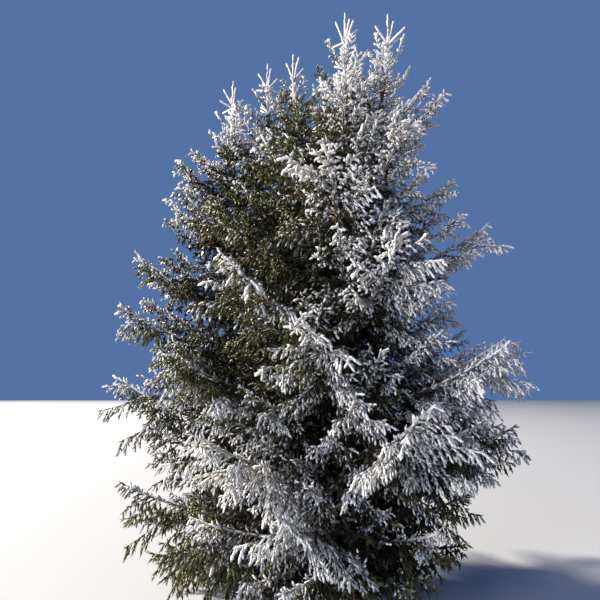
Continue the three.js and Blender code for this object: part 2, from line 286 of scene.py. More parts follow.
def main_bough(stem, tier, index, dice):
    height, aims = stem.tiers[tier]
    aim, reach = aims[index]
    z = height + (TIER_STEP if index % 2 else -TIER_STEP) + dice.between(-HEIGHT_LUCK, HEIGHT_LUCK)
    w = z / stem.tip[2]
    length = reach * dice.between(0.95, 1.05)
    foot = lerp(RISE_LOW[0], RISE_HIGH[0], w) + dice.between(-ANGLE_LUCK, ANGLE_LUCK)
    tip = lerp(RISE_LOW[1], RISE_HIGH[1], w) + dice.between(-ANGLE_LUCK, ANGLE_LUCK)
    heading = aim + dice.between(-HEADING_LUCK, HEADING_LUCK)
    name = f"{stem.name}_{tier + 1}_{index + 1}"
    bough = Bough(name, stem, z, length, foot, tip, heading, dice.between(-SWING, SWING))
    bough.dice = dice
    return bough


boughs = []
for stem in stems.values():
    for tier, (_, aims) in enumerate(stem.tiers):
        for index in range(len(aims)):
            main = main_bough(stem, tier, index, Dice(SEED + 977 * (len(boughs) + 1)))
            boughs.append(main)
print(len(boughs), "main boughs, up to", round(max(bough.length for bough in boughs), 2), "m long")

# %% [markdown]
# ## Companions and inner boughs
#
# A real tree of this size has several times as many boughs as there are solids. So slighter ones, its
# companions, flank each main bough: above and below it, a little to each side, and shorter, so that they
# stay within the reach of the crown. Boughs that start near the ground also get skirts, which hang down to
# it. The trunk's boughs on the right get three more companions, up to the middle of the crown, because the
# photo shows that side full.
#
# Short sheltered boughs then stand all round each stem. They fill the inside of the crown, which is so dark
# and close on a spruce that little of its trunk can be seen. Each companion is given by its side, its share
# of the main bough's length, and its lift as a share of the gap between two tiers.

# %% Companions and inner boughs
TRUNK_COMPANIONS = ((-1, 0.82, 0.36), (1, 0.76, -0.34), (1, 0.60, 0.10), (-1, 0.62, -0.12))
SIDE_COMPANIONS = ((-1, 0.85, 0.33), (1, 0.82, -0.33), (1, 0.74, 0.12), (-1, 0.70, -0.12))
SKIRTS = ((0, 0.92, -0.35), (-1, 0.86, -0.28), (1, 0.82, -0.24))
RIGHT_HAND = ((-1, 0.90, 0.20), (1, 0.84, -0.22), (0, 0.80, 0.45))
RIGHT_FACING = 0.8
RIGHT_HAND_UNDER = 2.3
SKIRT_UNDER = 0.65
SKIRT_HANG = 8
LONE_TIER_GAP = 0.4
LOWEST_BOUGH = 0.28
OVER_THE_FORK = 0.1
COMPANION_SLIMMER = 0.5
COMPANION_HEIGHT_LUCK = 0.04
COMPANION_ASIDE = (13, 26)
COMPANION_LENGTH_LUCK = (0.92, 1.05)
COMPANION_FOOT_LUCK = (-5, 7)
COMPANION_TIP_LUCK = (-6, 6)
INNER_FROM = 0.45
INNER_BELOW_TOP = 1.35
INNER_SPACING = 0.068
INNER_LENGTHS = (0.40, 0.78)
INNER_HEADING_LUCK = (-20, 20)
INNER_SHARE = 0.5
INNER_SLIMMER = 0.4


def tier_gap(bough):
    heights = [tier[0] for tier in bough.stem.tiers]
    return (heights[-1] - heights[0]) / (len(heights) - 1) if len(heights) > 1 else LONE_TIER_GAP


def companion_plan(bough, low):
    if bough.stem.name != "trunk":
        return SIDE_COMPANIONS + (SKIRTS if low < SKIRT_UNDER else ())
    if low < SKIRT_UNDER:
        return TRUNK_COMPANIONS + SKIRTS
    to_the_right = math.cos(math.radians(bough.heading)) > RIGHT_FACING
    return TRUNK_COMPANIONS + (RIGHT_HAND if to_the_right and low < RIGHT_HAND_UNDER else ())


def companions(bough, chance):
    low = bough.points[0][2]
    lowest = max(LOWEST_BOUGH, bough.stem.base[2] + OVER_THE_FORK)
    higher = COMPANION_HEIGHT_LUCK
    result = []
    for side, share, lift in companion_plan(bough, low):
        z = max(lowest, low + lift * tier_gap(bough) + chance.between(-higher, higher))
        heading = bough.heading + side * chance.between(*COMPANION_ASIDE)
        narrower = bough.stem.reach(z) / bough.stem.reach(low)
        length = bough.length * narrower * share * chance.between(*COMPANION_LENGTH_LUCK)
        hang = SKIRT_HANG if (side, share, lift) in SKIRTS else 0
        foot = bough.foot - hang + chance.between(*COMPANION_FOOT_LUCK)
        tip = bough.tip - 2 * hang + chance.between(*COMPANION_TIP_LUCK)
        extra = Bough(bough.name, bough.stem, z, length, foot, tip, heading, bough.swing)
        extra.share = share
        extra.radius *= COMPANION_SLIMMER
        result.append(extra)
    return result


def inner_boughs(stem, chance):
    low, high = max(INNER_FROM, stem.base[2] + OVER_THE_FORK), stem.tip[2] - INNER_BELOW_TOP
    count = round((high - low) / INNER_SPACING)
    result = []
    for i in range(count):
        z = lerp(low, high, (i + chance.roll()) / count)
        tier = min(range(len(stem.tiers)), key=lambda n: abs(stem.tiers[n][0] - z))
        length = stem.reach(z) * chance.between(*INNER_LENGTHS)
        w = z / stem.tip[2]
        foot, tip = lerp(RISE_LOW[0], RISE_HIGH[0], w), lerp(RISE_LOW[1], RISE_HIGH[1], w)
        name = f"{stem.name}_{tier + 1}_1"
        heading = GOLDEN_ANGLE * i + chance.between(*INNER_HEADING_LUCK)
        extra = Bough(name, stem, z, length, foot, tip, heading, 0)
        extra.share = INNER_SHARE
        extra.radius *= INNER_SLIMMER
        result.append(extra)
    return result


chance = Dice(SEED + 5)
flanks = [extra for bough in boughs for extra in companions(bough, chance)]
inners = [extra for stem in stems.values() for extra in inner_boughs(stem, chance)]
print(len(flanks), "companions and", len(inners), "inner boughs")

# %% [markdown]
# ## Branchlets
#
# Branchlets leave a bough to the left and right in turn. On the lower boughs they hang, which is what makes
# a spruce look like rows of curtains, and near the top they stand out. The solids have only a few on each
# bough, as toothed blades. Here those same ones come first, and then the gaps between them are filled by
# more of the same kind, shorter, until the bough is as full as the real one.

# %% Branchlets
SPRAY_LONGEST = 0.680
SPRAY_SHARE = 0.4
SPRAY_WIDTH = 0.33
GROUND_CLEARANCE = 0.035
TIP_SINK = 0.12
SPREAD = (68, 36)
SPREAD_LUCK = (-8, 8)
HANG = (66, 52)
HANG_SETTLES = 0.75
HANG_LUCK = (-18, 12)
SIZE_LUCK = (0.9, 1.1)
SIDE_ROLL = (20, 60)
SIDE_BEND = (0, 26)
BLADES = (7.1, 4.6)
BLADES_SETTLE = 0.7
BLADE_SPAN = (0.3, 0.9)
END_AT = 0.82
END_BEND = 10
END_ROLL = (25, 50)
END_OUTER = 0.95
END_WIDTH = 0.30
FILLING_SPAN = (0.12, 0.96)
STRAIGHT = 1e-4


class Branchlet:
    def __init__(self, root, heading, rise, length, roll, bend, outer, width=SPRAY_WIDTH, plain=False):
        sink = (GROUND_CLEARANCE + TIP_SINK * length - root[2]) / length
        rise = max(rise, math.degrees(math.asin(max(-1.0, min(1.0, sink)))))
        self.root, self.length, self.outer = root, length, outer
        self.width, self.plain = width, plain
        bend = 0 if plain else bend
        self.along = direction(heading, rise)
        side = unit(np.cross(UP, self.along))
        level = np.cross(self.along, side)
        turn = math.radians(roll)
        self.normal = level * math.cos(turn) + np.cross(self.along, level) * math.sin(turn)
        self.across = np.cross(self.normal, self.along)
        self.arc = math.radians(bend) or STRAIGHT

    def point(self, t):
        turn = self.arc * t
        forward = self.along * math.sin(turn) + self.normal * (1 - math.cos(turn))
        return self.root + forward * self.length / self.arc

    def line(self, t):
        return self.along * math.cos(self.arc * t) + self.normal * math.sin(self.arc * t)


def side_branchlet(bough, s, side, dice, share=1.0):
    spread = lerp(*SPREAD, s) + dice.between(*SPREAD_LUCK)
    hang = lerp(*HANG, min(1, bough.w / HANG_SETTLES)) * (1 - 0.4 * s) + dice.between(*HANG_LUCK)
    size = min(SPRAY_LONGEST, SPRAY_SHARE * bough.length * (1.15 - 0.5 * s)) * dice.between(*SIZE_LUCK)
    heading = bough.heading + bough.swing * s + side * spread
    roll = dice.between(*SIDE_ROLL) * (-1 if dice.roll() < 0.5 else 1)
    bend = dice.between(*SIDE_BEND)
    length = share * size if share == 1 else min(share * size, (1.07 - s) * bough.length)
    return Branchlet(bough.point(s), heading, bough.rise(s) - hang, length, roll, bend, s * bough.share)


def end_branchlet(bough, dice):
    s = END_AT
    roll = dice.between(*END_ROLL) * (-1 if dice.roll() < 0.5 else 1)
    length = (1.06 - s) * bough.length
    heading, outer = bough.heading + bough.swing, END_OUTER * bough.share
    return Branchlet(bough.point(s), heading, bough.rise(s), length, roll, END_BEND, outer, END_WIDTH)


def main_branchlets(bough):
    """The branchlets that the solids have as blades, in the order in which the solids draw them."""
    count = math.floor(lerp(*BLADES, bough.w / BLADES_SETTLE) + 0.5)
    result = []
    for i in range(count):
        s = lerp(*BLADE_SPAN, (i + 0.3) / count)
        result.append(side_branchlet(bough, s, 1 if i % 2 else -1, bough.dice))
    return result + [end_branchlet(bough, bough.dice)]


def filling_branchlets(bough, spacing, share, dice):
    count = round(0.8 * bough.length / spacing)
    result = []
    for i in range(count):
        s = lerp(*FILLING_SPAN, (i + dice.between(0.2, 0.8)) / count)
        shorter = share * dice.between(0.7, 1.1)
        result.append(side_branchlet(bough, s, 1 if i % 2 else -1, dice, shorter))
    return result


print("branchlets leave a bough at", SPREAD[0], "degrees near its foot and", SPREAD[1], "near its tip")

# %% [markdown]
# ## The tops
#
# A spruce adds one upright shoot and one ring of side shoots each year. So each stem ends in a bare rimed
# rod about a third of a metre long, with rings of shoots below it that get longer year by year. The first
# ring is straight rods like the leader. Shorter shoots stand all the way down between the rings.

# %% The tops of the stems
TOP_WHORLS = (
    dict(below=0.33, reach=0.20, rise=52, sprays=4, width=0.15),
    dict(below=0.64, reach=0.32, rise=46, sprays=4, width=0.22),
    dict(below=0.96, reach=0.44, rise=38, sprays=4, width=0.27),
    dict(below=1.28, reach=0.58, rise=30, sprays=3, width=0.29),
)
WHORL_OUT = 0.009
WHORL_BEND = 18
WHORL_OUTER = 0.9
EXTRA_RODS = 4
UNBRANCHED = 0.13
BETWEEN_COUNT = 90
BETWEEN_SPAN = (0.30, 1.6)
BETWEEN_LENGTHS = (0.07, 0.44)
BETWEEN_RISES = (50, 5)
BETWEEN_BEND = 12
BETWEEN_OUTER = 0.8
BETWEEN_WIDTH = 0.27


def top_branchlets(stem, dice):
    result = []
    for whorl in TOP_WHORLS:
        turn = dice.between(0, 360)
        for i in range(whorl["sprays"]):
            heading = turn + 360 * (i + dice.between(-0.12, 0.12)) / whorl["sprays"]
            point, radius = stem.at(stem.tip[2] - whorl["below"] + dice.between(-0.020, 0.040))
            root = point + direction(heading, 0) * (radius + WHORL_OUT)
            length = whorl["reach"] * dice.between(0.85, 1.1)
            rise = whorl["rise"] + dice.between(-8, 8)
            roll = dice.between(-30, 30)
            shape = roll, WHORL_BEND, WHORL_OUTER, whorl["width"]
            result.append(Branchlet(root, heading, rise, length, *shape, whorl is TOP_WHORLS[0]))
    return result


def between_whorls(stem, dice):
    """A few more straight rods in the first ring, then shoots all the way down, longer lower down."""
    result = []
    for i in range(BETWEEN_COUNT):
        is_rod = i < EXTRA_RODS
        share = (i + dice.roll()) / BETWEEN_COUNT
        below = lerp(*BETWEEN_SPAN, share**1.05)
        if is_rod:
            below = TOP_WHORLS[0]["below"] + dice.between(-0.02, 0.05)
        heading = dice.between(0, 360)
        point, radius = stem.at(stem.tip[2] - below)
        length = lerp(*BETWEEN_LENGTHS, clamp((below - 0.5) / 1.1)) * dice.between(0.7, 1.1)
        rise = lerp(*BETWEEN_RISES, below / BETWEEN_SPAN[1]) + dice.between(-12, 12)
        if is_rod:
            length, rise = dice.between(0.17, 0.25), dice.between(0, 48)
        root = point + direction(heading, 0) * radius
        shape = dice.between(-40, 40), BETWEEN_BEND, BETWEEN_OUTER, BETWEEN_WIDTH
        plain = is_rod or length < UNBRANCHED
        result.append(Branchlet(root, heading, rise, length, *shape, plain))
    return result


print("a leader is", TOP_WHORLS[0]["below"], "m long, above", len(TOP_WHORLS), "rings of side shoots")

# %% [markdown]
# ## Twigs, shoots and rime
#
# A branchlet carries twigs on both sides, and every twig, like the outer part of the branchlet itself, is
# clad in needles. The needles are made in stretches about as long as a finger. Each stretch is one shoot:
# where it starts, where it points, how thick it is, how much rime it has caught, and how far out in the
# crown it stands. On the lower branchlets the twigs hang almost straight down, side by side.
#
# Rime gathers on what stands in moving air: the outside of the crown more than the inside, the tops more
# than the foot, and the windward side most. In the photo the upper right and the lower front are whitest,
# and the stems behind are in the lee. So the rule has one wind high up and another low down, and a share of
# rime for each stem. That is a fit to what shows, not a record of the weather.

# %% How much rime
WIND = unit(np.array([0.98, -0.16, 0.08]))
LOW_WIND = unit(np.array([-0.85, -0.53, 0.0]))
WIND_TURNS_AT = 1.2
WIND_TURNS_OVER = 0.6
WINDWARD_RIME = 0.59
LEE_SHARE = 0.18
RIMED_STEMS = ("trunk", "stem_twin")
STEM_RIME = {
    "trunk": 0.17,
    "stem_twin": 0.22,
    "stem_back": -0.02,
    "stem_middle": -0.04,
    "stem_left": 0.02,
}
LEAST_RIME = -0.32
OPEN_AIR_RIME = 1.06
CROWN_MIDDLE = np.array([-0.30, 0.25])
CROWN_RADIUS = (1.9, 0.85)
CROWN_TOP = 5.5
HIGH_FROM = 3.5
HIGH_OVER = 1.4
HIGH_RIME = 0.34
HIGH_LEE_RIME = 0.24
LOW_UNDER = 1.6
LOW_OVER = 0.5
LOW_RIME = 0.07
LOW_LEE_RIME = -0.12
FOOT_UNDER = 0.6
FOOT_OVER = 0.35
FOOT_RIME = -0.50
THICKNESS = 1.06
THICKER_HIGH_UP = 0.42
THICKER_FROM = 1.6
THICKER_OVER = 2.0


def rime_at(point, outer, stem, luck):
    """How much rime a shoot catches, from 0 to 1 and beyond."""
    in_the_wind = stem.name in RIMED_STEMS
    away = np.array([*(point[:2] - CROWN_MIDDLE), 0.0])
    distance = float(np.linalg.norm(away))
    shell = clamp(distance / lerp(*CROWN_RADIUS, point[2] / CROWN_TOP))
    open_air = outer * (0.35 + 0.65 * shell)
    aside = point - stem.at(min(point[2], stem.tip[2]))[0]
    up = clamp((point[2] - WIND_TURNS_AT) / WIND_TURNS_OVER)
    windward = float(np.dot(aside, lerp(LOW_WIND, WIND, up))) / (float(np.linalg.norm(aside)) + 0.3)
    windward *= WINDWARD_RIME * (1 if in_the_wind else LEE_SHARE)
    high = clamp((point[2] - HIGH_FROM) / HIGH_OVER) * (HIGH_RIME if in_the_wind else HIGH_LEE_RIME)
    low = LOW_RIME if in_the_wind else LOW_LEE_RIME
    low = low * clamp((LOW_UNDER - point[2]) / LOW_OVER)
    low += FOOT_RIME * clamp((FOOT_UNDER - point[2]) / FOOT_OVER)
    return LEAST_RIME + OPEN_AIR_RIME * open_air + windward + low + high + STEM_RIME[stem.name] + luck


def thickness_at(point):
    """High up in the wind the coat is thicker, and the shoots themselves are sturdier."""
    return THICKNESS + THICKER_HIGH_UP * clamp((point[2] - THICKER_FROM) / THICKER_OVER)


for name in ("trunk", "stem_left"):
    outside = stems[name].at(3.0)[0] + np.array([0.8, 0.0, 0.0])
    print("rime on the right of", name, "at 3 m:", round(rime_at(outside, 1.0, stems[name], 0.0), 2))

# %% [markdown]
# Sheltered shoots are fewer, longer and thicker than those on the outside, because little of them shows. A
# shoot that would leave the reach of the crown is left out, and one that would enter the ground is laid
# along it. A long twig forks near the end of every shoot but its last.

# %% Shoots
SHOOT_LENGTH = 0.068
SHOOT_OVERLAP = 1.15
RIMED_SPACING = 0.028
GREEN_SPACING = 0.036
SHELTERED = 0.40
SHELTERED_LENGTH = 0.105
SHELTERED_SPACING = 0.065
SHELTERED_THICKNESS = 1.3
SHORTEST_TWIG = 0.045
SHOOT_CORE = 0.0088
CLAD_FROM = 0.62
LOWEST = 0.02
ROD = 2.0
ROD_CORE = 0.0105
ROD_FOOT = 0.85
REACH_LOW = np.array(CAD_BOX[0]) - 0.03
REACH_HIGH = np.array(CAD_BOX[1]) + 0.03
FORK_AT = 0.7
FORK_OUT = 0.75
FORK_THICKNESS = 0.95
FORK_DROOP = 0.5
STEP_DROOP = 0.3
TWIG_SPAN = (0.08, 0.97)
TWIG_FORK = (36, 58)
TWIG_LENGTH_LUCK = (0.7, 1.05)
BRANCHLET_LUCK = (-0.22, 0.22)
SHOOT_LUCK = (-0.14, 0.14)

shoots = {key: [] for key in ("root", "reach", "normal", "thick", "rime", "outer", "region")}


def add_shoot(root, reach, normal, thick, rime, outer, region):
    """Adds one shoot, from its root to root + reach, off the ground and within the crown."""
    reach[2] = max(reach[2], LOWEST - root[2])
    middle = root + 0.5 * reach
    if (middle[:2] < REACH_LOW[:2]).any() or (middle[:2] > REACH_HIGH[:2]).any():
        return
    for key, value in zip(shoots, (root, reach, normal, thick, rime, outer, region)):
        shoots[key].append(value)


def outer_share(branchlet, t):
    return branchlet.outer if branchlet.outer < SHELTERED else clamp(0.65 * branchlet.outer + 0.45 * t)


def clad_line(branchlet, start, stem, luck, region, dice, thick):
    """Shoots in a row along the branchlet itself, from a share of its length to its tip."""
    count = max(1, round((1 - start) * branchlet.length / SHOOT_LENGTH))
    for i in range(count):
        a, b = lerp(start, 1, i / count), lerp(start, 1, min(i + SHOOT_OVERLAP, count) / count)
        root, outer = branchlet.point(a), outer_share(branchlet, a)
        rime = rime_at(root, outer, stem, luck + dice.between(-0.1, 0.1))
        add_shoot(root, branchlet.point(b) - root, branchlet.normal, thick, rime, outer, region)


def twig_length(branchlet, t):
    """Half the width of the blade that stands for this branchlet in the solids, where the twig ends."""
    return branchlet.width * branchlet.length * (1 - 1.1 * (t - 0.35) ** 2) * 1.05


def clad(branchlet, stem, region, droop, dice):
    """Dresses a branchlet in twigs and shoots."""
    luck = dice.between(*BRANCHLET_LUCK)
    if branchlet.plain:
        rod = branchlet.point(1) - branchlet.root
        add_shoot(branchlet.root, rod, branchlet.normal, 1, 1, ROD, region)
        return
    thick, longest = thickness_at(branchlet.root), SHOOT_LENGTH
    clad_line(branchlet, CLAD_FROM, stem, luck, region, dice, thick)
    spacing = RIMED_SPACING if stem.name in RIMED_STEMS else GREEN_SPACING
    if branchlet.outer < SHELTERED:
        spacing, longest = SHELTERED_SPACING, SHELTERED_LENGTH
        thick *= SHELTERED_THICKNESS
    count = max(2, round(0.9 * branchlet.length / spacing))
    for i in range(count):
        t = lerp(*TWIG_SPAN, (i + dice.between(0.25, 0.75)) / count)
        side = 1 if i % 2 else -1
        length = max(SHORTEST_TWIG, twig_length(branchlet, t) * dice.between(*TWIG_LENGTH_LUCK))
        fork = math.radians(dice.between(*TWIG_FORK))
        out = branchlet.line(t) * math.cos(fork) + side * branchlet.across * math.sin(fork)
        out = out + branchlet.normal * dice.between(-0.3, 0.3)
        out = unit(out - UP * droop * dice.between(0.5, 1.3))
        root = branchlet.point(t)
        pieces = math.ceil(length / longest)
        step = length / pieces
        for k in range(pieces):
            outer = outer_share(branchlet, t + 0.25 * k)
            rime = rime_at(root, outer, stem, luck + dice.between(*SHOOT_LUCK))
            add_shoot(root, out * step * SHOOT_OVERLAP, branchlet.normal, thick, rime, outer, region)
            if k < pieces - 1:
                turn = np.cross(out, branchlet.normal) * (side if k % 2 else -side)
                aim = unit(out + FORK_OUT * turn - UP * FORK_DROOP * droop)
                start, slim = root + out * step * FORK_AT, FORK_THICKNESS * thick
                add_shoot(start, aim * step, branchlet.normal, slim, rime, outer, region)
            root = root + out * step
            out = unit(out - UP * STEP_DROOP * droop)


print("a shoot is about", SHOOT_LENGTH, "m long, and", SHELTERED_LENGTH, "m where it is sheltered")

# %% [markdown]
# The crown is one tree, but the meshes are kept apart by region, so that no mesh gets too big: the lower,
# middle and upper trunk, each other stem, and the tops. Every kind of bough is filled with branchlets at
# its own spacing, and by its own share of their full length. The twigs droop a lot on the lowest boughs and
# hardly at all on the tops.

# %% Grow the foliage
TIER_REGIONS = ("trunk_low",) * 2 + ("trunk_middle",) * 2 + ("trunk_high",) * 3
MAIN_FILLING = (0.050, 0.66)
COMPANION_FILLING = (0.066, 0.76)
INNER_FILLING = (0.085, 1.1)
DROOP = (1.2, 0.3)
INNER_DROOP = 0.4
TOP_DROOP = 0.05
branchlets = []


def region_of(bough):
    if bough.stem.name != "trunk":
        return bough.stem.name
    return TIER_REGIONS[int(bough.name.split("_")[1]) - 1]


growth = Dice(SEED + 11)
for bough in boughs:
    own = main_branchlets(bough) + filling_branchlets(bough, *MAIN_FILLING, growth)
    branchlets += [(one, bough.stem, region_of(bough), lerp(*DROOP, bough.w)) for one in own]
for bough in flanks:
    own = filling_branchlets(bough, *COMPANION_FILLING, growth) + [end_branchlet(bough, growth)]
    branchlets += [(one, bough.stem, region_of(bough), lerp(*DROOP, bough.w)) for one in own]
for bough in inners:
    own = filling_branchlets(bough, *INNER_FILLING, growth) + [end_branchlet(bough, growth)]
    branchlets += [(one, bough.stem, region_of(bough), INNER_DROOP) for one in own]
for stem in stems.values():
    own = top_branchlets(stem, Dice(SEED + round(1000 * stem.tip[2])))
    own += between_whorls(stem, growth)
    branchlets += [(one, stem, "tops", TOP_DROOP) for one in own]
for branchlet, stem, region, droop in branchlets:
    clad(branchlet, stem, region, droop, growth)
print(len(branchlets), "branchlets with", len(shoots["root"]), "shoots")

# %% [markdown]
# The outer part of each bough, and the leader of each stem, is clad in needles too: a sleeve of shoots that
# follows the limb, and short shoots that stand out of it. They catch more rime than the twigs beside them,
# so the main boughs and the longer companions look like white ridges. High up on the trunk and its twin,
# each bough also ends in a straight rimed rod.

# %% Clad the bough ends and leaders
BOUGH_CLAD_FROM = 0.20
SLEEVE_LUCK = (0.15, 0.45)
SLEEVE_THICKNESS = 1.4
RIDGE_SPACING = 0.020
RIDGE_SIDE = (15, 60)
RIDGE_RISE = (-50, 42)
RIDGE_LENGTHS = (0.05, 0.085)
RIDGE_LUCK = (0.15, 0.50)
RIDGE_LEAST_SHARE = 0.5
RIME_DEPTH = 0.002
RIDGE_END = 0.99
END_ROD = 0.12
END_ROD_FROM = 0.97
END_ROD_ABOVE = 0.5
END_ROD_THICKNESS = 0.9
LEADER_COAT = 0.66


def clad_bough(bough, region, dice):
    start, has_ridge = BOUGH_CLAD_FROM, bough.share > RIDGE_LEAST_SHARE
    count = round((1 - start) * bough.length / SHELTERED_LENGTH)
    for i in range(count):
        a, b = lerp(start, 1, i / count), lerp(start, 1, min(count, i + SHOOT_OVERLAP) / count)
        root = bough.point(a)
        rime = rime_at(root, (0.3 + 0.7 * a) * bough.share, bough.stem, dice.between(*SLEEVE_LUCK))
        thick = max(SLEEVE_THICKNESS, (bough.radius_at(a) + RIME_DEPTH) / SHOOT_CORE)
        add_shoot(root, bough.point(b) - root, UP, thick, rime, bough.share, region)
    if bough.w > END_ROD_ABOVE and has_ridge and bough.stem.name in RIMED_STEMS:
        out = direction(bough.heading + bough.swing, bough.rise(1) + dice.between(-12, 8))
        add_shoot(bough.point(END_ROD_FROM), out * END_ROD, UP, END_ROD_THICKNESS, 1, ROD, region)
    count = round((1 - start) * bough.length / RIDGE_SPACING) if has_ridge else 0
    for i in range(count):
        s = lerp(start, RIDGE_END, (i + dice.roll()) / count)
        heading = bough.heading + bough.swing * s + (1 if i % 2 else -1) * dice.between(*RIDGE_SIDE)
        out = direction(heading, bough.rise(s) + dice.between(*RIDGE_RISE))
        root = bough.point(s)
        rime = rime_at(root, (0.35 + 0.65 * s) * bough.share, bough.stem, dice.between(*RIDGE_LUCK))
        outer, thick = (0.5 + 0.5 * s) * bough.share, thickness_at(root)
        add_shoot(root, out * dice.between(*RIDGE_LENGTHS), UP, thick, rime, outer, region)


def clad_leader(stem, dice):
    """A coat of rime on the top of a stem, a little thicker than the stem itself."""
    count = round(LEADER_COAT / SHOOT_LENGTH)
    for i in range(count):
        low = stem.tip[2] - LEADER_COAT * (1 - i / count)
        root, radius = stem.curve(low)
        end = stem.curve(min(stem.tip[2], low + SHOOT_OVERLAP * LEADER_COAT / count))[0]
        thick = (radius + RIME_DEPTH) / (ROD_FOOT * ROD_CORE)
        add_shoot(root, end - root, direction(dice.between(0, 360), 0), thick, 1.0, ROD, "tops")
    add_shoot(stem.tip - UP * 0.02, UP * 0.035, direction(0, 0), 0.8, 1.0, ROD, "tops")


for bough in boughs + flanks + inners:
    clad_bough(bough, region_of(bough), growth)
for stem in stems.values():
    clad_leader(stem, growth)
shoots = {key: np.array(value) for key, value in shoots.items()}
mean_length = np.linalg.norm(shoots["reach"], axis=1).mean()
print(len(shoots["root"]), "shoots in all, mean length", round(float(mean_length), 3), "m")

# %% [markdown]
# ## What one shoot looks like
#
# Needles sit all round a spruce twig, point forwards, and are 10 to 20 mm long. A real shoot has a hundred
# or more, which is too many for a whole tree. Here a slim spindle stands for the twig and the crowded bases
# of its needles, and 3 to 12 flat needles stand out of it, each as wide as it needs to be to stand for
# several. A rimed shoot is a blunt white finger, with short broad feathers of ice. A green one tapers from
# nearer its foot and has longer needles. The further in it stands, the fewer and larger its needles are.
#
# Every corner of the pattern is given as a share of the shoot's length plus an offset in metres, so that a
# longer shoot gets no longer needles.

# %% The pattern of a shoot
GOLDEN_TURN = math.radians(GOLDEN_ANGLE)
NEEDLES_END = 0.93
NEEDLE_SKEW = 0.3


def shoot_pattern(rng, sides, foot, core, widest, needles, needle_length, needle_width, splay):
    """Shares of the length, offsets (along, across, normal) in metres, and the triangles."""
    shares, offsets, faces = [0.0, 1.0], [(0, 0, 0)] * 2, []
    for share, radius in ((widest, core), (0.0, foot * core))[: 2 if foot else 1]:
        for i in range(sides):
            turn = 2 * math.pi * (i + rng.uniform(-0.1, 0.1)) / sides
            shares.append(share)
            offsets.append((0, radius * math.cos(turn), radius * math.sin(turn)))
    for i in range(sides):
        here, after = 2 + i, 2 + (i + 1) % sides
        faces.append((here, after, 1))
        if foot:
            faces += [(here, here + sides, after + sides), (here, after + sides, after)]
        else:
            faces.append((here, 0, after))
    for k in range(needles):
        share = (k + rng.uniform(0.1, 0.9)) / needles * NEEDLES_END
        turn = GOLDEN_TURN * k + rng.uniform(-0.3, 0.3)
        lean = math.radians(splay * rng.uniform(0.7, 1.25) * (1 - 0.35 * share))
        length = needle_length * rng.uniform(0.8, 1.15) * (1 - 0.25 * share)
        out = np.array([0, math.cos(turn), math.sin(turn)])
        round_it = np.array([0, -math.sin(turn), math.cos(turn)])
        base = out * core * 0.55 * (1 - 0.4 * share)
        point = base + length * (np.array([math.cos(lean), 0, 0]) + out * math.sin(lean))
        first = len(shares)
        shares += [share] * 3
        half = 0.5 * needle_width * round_it
        skew = np.array([NEEDLE_SKEW * needle_width, 0, 0])
        offsets += [tuple(base - half), tuple(base + half + skew), tuple(point)]
        faces.append((first, first + 1, first + 2))
    return np.array(shares), np.array(offsets), np.array(faces)


RIMED_SHOOT = dict(core=SHOOT_CORE, widest=0.72, needle_length=0.0125, splay=38)
GREEN_SHOOT = dict(core=0.0085, widest=0.45, needle_length=0.0180, splay=46)
NEAR_RIMED = dict(RIMED_SHOOT, sides=4, foot=0.6, needles=7, needle_width=0.0080)
FAR_RIMED = dict(RIMED_SHOOT, sides=3, foot=0, needles=4, needle_width=0.0105)
NEAR_GREEN = dict(GREEN_SHOOT, sides=3, foot=0.6, needles=12, needle_width=0.0048)
FAR_GREEN = dict(GREEN_SHOOT, sides=3, foot=0, needles=5, needle_width=0.0105, needle_length=0.0240)
INSIDE = dict(GREEN_SHOOT, sides=3, foot=0, needles=3, needle_width=0.0225, needle_length=0.0390)
ROD_SPINDLE = dict(sides=5, foot=ROD_FOOT, core=ROD_CORE, widest=0.94)
RIMED_ROD = dict(ROD_SPINDLE, needles=6, needle_width=0.010, needle_length=0.0075, splay=50)
VARIANTS = 7
for name, pattern in (("near green", NEAR_GREEN), ("far green", FAR_GREEN), ("inside", INSIDE)):
    made = shoot_pattern(np.random.default_rng(SEED), **pattern)
    print("a", name, "shoot has", len(made[2]), "triangles")

# %% [markdown]
# ## Materials
#
# Hoarfrost is clear ice in crystals so fine that they scatter all light: it is white, matt, and slightly blue
# in the shade only because the sky is. Where the coat is thin, the green below dulls it. The needles
# themselves are waxy, dark and slightly glossy. The four colours are dealt out shoot by shoot, by the rime on
# it and its place in the crown: the grey rime and the dark needles are also painted shade, given to shoots
# deep inside the crown, and the grey rime also to rime low down. Within each, the tone wanders a little over
# some centimetres, as it does on the tree.
#
# The bark of a young spruce is thin, rough and red-brown, and flakes in small round scales.

# %% Colours and the node helper
def linear(hex_colour):
    """An sRGB hex value as linear red, green, blue and alpha."""
    values = [int(hex_colour[i : i + 2], 16) / 255 for i in (1, 3, 5)]
    return tuple(v / 12.92 if v <= 0.04045 else ((v + 0.055) / 1.055) ** 2.4 for v in values) + (1.0,)


def add_node(material, kind, settings=None, links=None):
    """Adds a node of a kind, sets its attributes and inputs, and links its inputs from (node, output)."""
    node = material.node_tree.nodes.new(kind)
    for key, value in (settings or {}).items():
        if hasattr(node, key):
            setattr(node, key, value)
        else:
            node.inputs[key].default_value = value
    for key, (source, output) in (links or {}).items():
        material.node_tree.links.new(source.outputs[output], node.inputs[key])
    return node


def surface(name):
    material = bpy.data.materials.new(name)
    material.use_nodes = True
    return material, material.node_tree.nodes["Principled BSDF"]


def colour_ramp(material, source, low, high):
    """A ramp over a source (node, output), from (place, colour) to (place, colour)."""
    ramp = add_node(material, "ShaderNodeValToRGB", None, {"Fac": source})
    for stop, (place, colour) in zip(ramp.color_ramp.elements, (low, high)):
        stop.position = place
        stop.color = colour
    return ramp


print("mid grey, #808080, is", round(linear("#808080")[0], 3), "in linear light")

